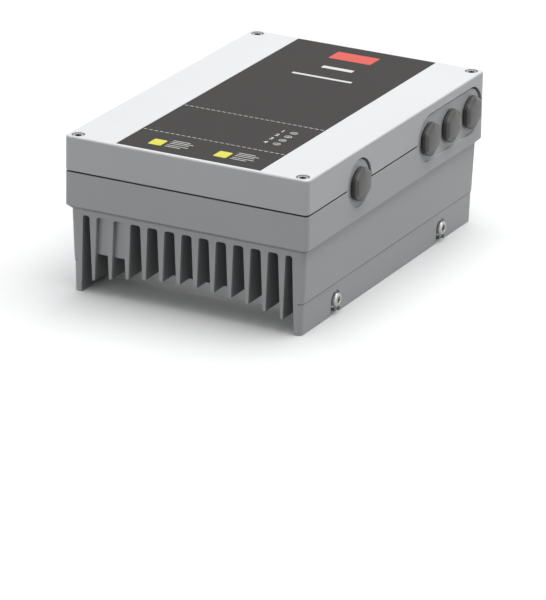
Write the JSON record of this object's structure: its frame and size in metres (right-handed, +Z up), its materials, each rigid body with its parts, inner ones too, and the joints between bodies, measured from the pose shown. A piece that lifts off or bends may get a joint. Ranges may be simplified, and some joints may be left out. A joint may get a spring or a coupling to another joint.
{
  "type": "variable frequency drive",
  "caption": "Motor-mounted variable frequency drive: finned die-cast housing with screwed lid, blanked cable entries and a motor adapter plate.",
  "frame": {"origin": "middle of the motor bolt pattern, on the underside of the adapter plate", "axes": "+Z up through the lid, +Y along the length towards the end with three grouped cable entries, +X towards the cable entry side"},
  "size_m": [0.1947, 0.277, 0.115],
  "materials": {
    "housing_paint": "satin light grey powder coat on die-cast aluminium",
    "lid_paint": "satin light grey powder coat on die-cast aluminium",
    "label_foil": "matt charcoal polyester foil",
    "light_pipe": "smoked moulded acrylic",
    "adapter_metal": "as cast and machined",
    "seal_rubber": "matt black rubber",
    "connector_black": "moulded",
    "contact_brass": "bare brass",
    "thermal_foil": "soft grey interface foil",
    "module_case": "moulded epoxy",
    "board_green": "solder resist on glass laminate",
    "screw_steel": "zinc plated",
    "capacitor_sleeve": "shrunk sleeve over an aluminium can",
    "film_case": "potted case",
    "ferrite": "sintered core with green epoxy skin",
    "copper_wire": "enamelled copper winding",
    "relay_case": "moulded",
    "terminal_grey": "moulded",
    "carrier_plastic": "moulded",
    "terminal_green": "moulded",
    "socket_metal": "tinned steel shell",
    "switch_white": "moulded",
    "memory_case": "moulded",
    "led_body": "clear epoxy",
    "plug_plastic": "glass filled nylon",
    "washer_nylon": "nylon"
  },
  "bodies": {
    "adapter": {"adapter_plate": "adapter_metal", "adapter_gasket": "seal_rubber", "motor_plug": "connector_black", "motor_plug_pins": "contact_brass", "duct_seal": "seal_rubber"},
    "drive": {"heatsink_housing": "housing_paint", "lid_gasket": "seal_rubber", "motor_socket": "connector_black", "thermal_pad": "thermal_foil", "power_module": "module_case", "power_board": "board_green", "power_board_screws": "screw_steel", "dc_link_capacitors": "capacitor_sleeve", "film_capacitors": "film_case", "choke_core": "ferrite", "choke_winding": "copper_wire", "inrush_relay": "relay_case", "mains_terminal_block": "terminal_grey", "terminal_screws": "screw_steel", "insulating_carrier": "carrier_plastic", "control_board": "board_green", "control_board_screws": "screw_steel", "board_link_header": "connector_black", "control_terminal_header": "terminal_green", "service_socket": "socket_metal", "termination_switch": "connector_black", "memory_socket": "connector_black", "status_leds": "led_body", "earth_screws": "screw_steel"},
    "lid": {"lid": "lid_paint", "front_label": "label_foil", "light_guide": "light_pipe"},
    "control_plug": {"control_terminal_plug": "terminal_green", "control_plug_screws": "screw_steel"},
    "termination_slider": {"termination_switch_slider": "switch_white"},
    "memory": {"memory_module": "memory_case"},
    "lid_screw_washer_front_left": {"lid_screw_washer_front_left": "washer_nylon"},
    "lid_screw_front_left": {"lid_screw_front_left": "screw_steel"},
    "lid_screw_washer_front_right": {"lid_screw_washer_front_right": "washer_nylon"},
    "lid_screw_front_right": {"lid_screw_front_right": "screw_steel"},
    "lid_screw_washer_rear_left": {"lid_screw_washer_rear_left": "washer_nylon"},
    "lid_screw_rear_left": {"lid_screw_rear_left": "screw_steel"},
    "lid_screw_washer_rear_right": {"lid_screw_washer_rear_right": "washer_nylon"},
    "lid_screw_rear_right": {"lid_screw_rear_right": "screw_steel"},
    "entry_seal_front": {"entry_seal_front": "seal_rubber"},
    "entry_plug_front": {"entry_plug_front": "plug_plastic"},
    "entry_seal_rear_1": {"entry_seal_rear_1": "seal_rubber"},
    "entry_plug_rear_1": {"entry_plug_rear_1": "plug_plastic"},
    "entry_seal_rear_2": {"entry_seal_rear_2": "seal_rubber"},
    "entry_plug_rear_2": {"entry_plug_rear_2": "plug_plastic"},
    "entry_seal_rear_3": {"entry_seal_rear_3": "seal_rubber"},
    "entry_plug_rear_3": {"entry_plug_rear_3": "plug_plastic"},
    "fixing_washer_front_left": {"fixing_washer_front_left": "screw_steel"},
    "fixing_screw_front_left": {"fixing_screw_front_left": "screw_steel"},
    "fixing_washer_front_right": {"fixing_washer_front_right": "screw_steel"},
    "fixing_screw_front_right": {"fixing_screw_front_right": "screw_steel"},
    "fixing_washer_rear_left": {"fixing_washer_rear_left": "screw_steel"},
    "fixing_screw_rear_left": {"fixing_screw_rear_left": "screw_steel"},
    "fixing_washer_rear_right": {"fixing_washer_rear_right": "screw_steel"},
    "fixing_screw_rear_right": {"fixing_screw_rear_right": "screw_steel"}
  },
  "joints": [
    {"name": "drive_lift", "type": "slide", "parent": "adapter", "child": "drive", "axis": [0, 0, 1], "range_m": [0, 0.06]},
    {"name": "lid_lift", "type": "slide", "parent": "drive", "child": "lid", "axis": [0, 0, 1], "range_m": [0, 0.06]},
    {"name": "control_plug_pull", "type": "slide", "parent": "drive", "child": "control_plug", "axis": [1, 0, 0], "range_m": [0, 0.009]},
    {"name": "termination_switch_slide", "type": "slide", "parent": "drive", "child": "termination_slider", "axis": [0, 1, 0], "range_m": [0, 0.0019]},
    {"name": "memory_module_pull", "type": "slide", "parent": "drive", "child": "memory", "axis": [0, 0, 1], "range_m": [0, 0.006]},
    {"name": "lid_screw_front_left_travel", "type": "slide", "parent": "lid", "child": "lid_screw_washer_front_left", "axis": [0, 0, 1], "range_m": [0, 0.0104]},
    {"name": "lid_screw_front_left_turn", "type": "hinge", "parent": "lid_screw_washer_front_left", "child": "lid_screw_front_left", "pos_m": [-0.0875, -0.132, 0.1098], "axis": [0, 0, 1], "range_deg": [0, 4684]},
    {"name": "lid_screw_front_right_travel", "type": "slide", "parent": "lid", "child": "lid_screw_washer_front_right", "axis": [0, 0, 1], "range_m": [0, 0.0104]},
    {"name": "lid_screw_front_right_turn", "type": "hinge", "parent": "lid_screw_washer_front_right", "child": "lid_screw_front_right", "pos_m": [0.0875, -0.132, 0.1098], "axis": [0, 0, 1], "range_deg": [0, 4684]},
    {"name": "lid_screw_rear_left_travel", "type": "slide", "parent": "lid", "child": "lid_screw_washer_rear_left", "axis": [0, 0, 1], "range_m": [0, 0.0104]},
    {"name": "lid_screw_rear_left_turn", "type": "hinge", "parent": "lid_screw_washer_rear_left", "child": "lid_screw_rear_left", "pos_m": [-0.0875, 0.132, 0.1098], "axis": [0, 0, 1], "range_deg": [0, 4684]},
    {"name": "lid_screw_rear_right_travel", "type": "slide", "parent": "lid", "child": "lid_screw_washer_rear_right", "axis": [0, 0, 1], "range_m": [0, 0.0104]},
    {"name": "lid_screw_rear_right_turn", "type": "hinge", "parent": "lid_screw_washer_rear_right", "child": "lid_screw_rear_right", "pos_m": [0.0875, 0.132, 0.1098], "axis": [0, 0, 1], "range_deg": [0, 4684]},
    {"name": "entry_plug_front_travel", "type": "slide", "parent": "drive", "child": "entry_seal_front", "axis": [1, 0, 0], "range_m": [0, 0.009]},
    {"name": "entry_plug_front_turn", "type": "hinge", "parent": "entry_seal_front", "child": "entry_plug_front", "pos_m": [0.095, -0.0605, 0.0895], "axis": [1, 0, 0], "range_deg": [0, 2164]},
    {"name": "entry_plug_rear_1_travel", "type": "slide", "parent": "drive", "child": "entry_seal_rear_1", "axis": [1, 0, 0], "range_m": [0, 0.009]},
    {"name": "entry_plug_rear_1_turn", "type": "hinge", "parent": "entry_seal_rear_1", "child": "entry_plug_rear_1", "pos_m": [0.095, 0.0488, 0.0895], "axis": [1, 0, 0], "range_deg": [0, 2164]},
    {"name": "entry_plug_rear_2_travel", "type": "slide", "parent": "drive", "child": "entry_seal_rear_2", "axis": [1, 0, 0], "range_m": [0, 0.009]},
    {"name": "entry_plug_rear_2_turn", "type": "hinge", "parent": "entry_seal_rear_2", "child": "entry_plug_rear_2", "pos_m": [0.095, 0.0829, 0.0895], "axis": [1, 0, 0], "range_deg": [0, 2164]},
    {"name": "entry_plug_rear_3_travel", "type": "slide", "parent": "drive", "child": "entry_seal_rear_3", "axis": [1, 0, 0], "range_m": [0, 0.009]},
    {"name": "entry_plug_rear_3_turn", "type": "hinge", "parent": "entry_seal_rear_3", "child": "entry_plug_rear_3", "pos_m": [0.095, 0.117, 0.0895], "axis": [1, 0, 0], "range_deg": [0, 2164]},
    {"name": "fixing_screw_front_left_travel", "type": "slide", "parent": "adapter", "child": "fixing_washer_front_left", "axis": [-1, 0, 0], "range_m": [0, 0.003]},
    {"name": "fixing_screw_front_left_turn", "type": "hinge", "parent": "fixing_washer_front_left", "child": "fixing_screw_front_left", "pos_m": [-0.0886, -0.083, 0.0105], "axis": [-1, 0, 0], "range_deg": [0, 1084]},
    {"name": "fixing_screw_front_right_travel", "type": "slide", "parent": "adapter", "child": "fixing_washer_front_right", "axis": [1, 0, 0], "range_m": [0, 0.003]},
    {"name": "fixing_screw_front_right_turn", "type": "hinge", "parent": "fixing_washer_front_right", "child": "fixing_screw_front_right", "pos_m": [0.0886, -0.083, 0.0105], "axis": [1, 0, 0], "range_deg": [0, 1084]},
    {"name": "fixing_screw_rear_left_travel", "type": "slide", "parent": "adapter", "child": "fixing_washer_rear_left", "axis": [-1, 0, 0], "range_m": [0, 0.003]},
    {"name": "fixing_screw_rear_left_turn", "type": "hinge", "parent": "fixing_washer_rear_left", "child": "fixing_screw_rear_left", "pos_m": [-0.0886, 0.083, 0.0105], "axis": [-1, 0, 0], "range_deg": [0, 1084]},
    {"name": "fixing_screw_rear_right_travel", "type": "slide", "parent": "adapter", "child": "fixing_washer_rear_right", "axis": [1, 0, 0], "range_m": [0, 0.003]},
    {"name": "fixing_screw_rear_right_turn", "type": "hinge", "parent": "fixing_washer_rear_right", "child": "fixing_screw_rear_right", "pos_m": [0.0886, 0.083, 0.0105], "axis": [1, 0, 0], "range_deg": [0, 1084]}
  ],
  "couplings": [
    {"joint": "lid_screw_front_left_turn", "follows": "lid_screw_front_left_travel", "rad_per_m": 7854},
    {"joint": "lid_screw_front_right_turn", "follows": "lid_screw_front_right_travel", "rad_per_m": 7854},
    {"joint": "lid_screw_rear_left_turn", "follows": "lid_screw_rear_left_travel", "rad_per_m": 7854},
    {"joint": "lid_screw_rear_right_turn", "follows": "lid_screw_rear_right_travel", "rad_per_m": 7854},
    {"joint": "entry_plug_front_turn", "follows": "entry_plug_front_travel", "rad_per_m": 4188.8},
    {"joint": "entry_plug_rear_1_turn", "follows": "entry_plug_rear_1_travel", "rad_per_m": 4188.8},
    {"joint": "entry_plug_rear_2_turn", "follows": "entry_plug_rear_2_travel", "rad_per_m": 4188.8},
    {"joint": "entry_plug_rear_3_turn", "follows": "entry_plug_rear_3_travel", "rad_per_m": 4188.8},
    {"joint": "fixing_screw_front_left_turn", "follows": "fixing_screw_front_left_travel", "rad_per_m": 6283.2},
    {"joint": "fixing_screw_front_right_turn", "follows": "fixing_screw_front_right_travel", "rad_per_m": 6283.2},
    {"joint": "fixing_screw_rear_left_turn", "follows": "fixing_screw_rear_left_travel", "rad_per_m": 6283.2},
    {"joint": "fixing_screw_rear_right_turn", "follows": "fixing_screw_rear_right_travel", "rad_per_m": 6283.2}
  ]
}
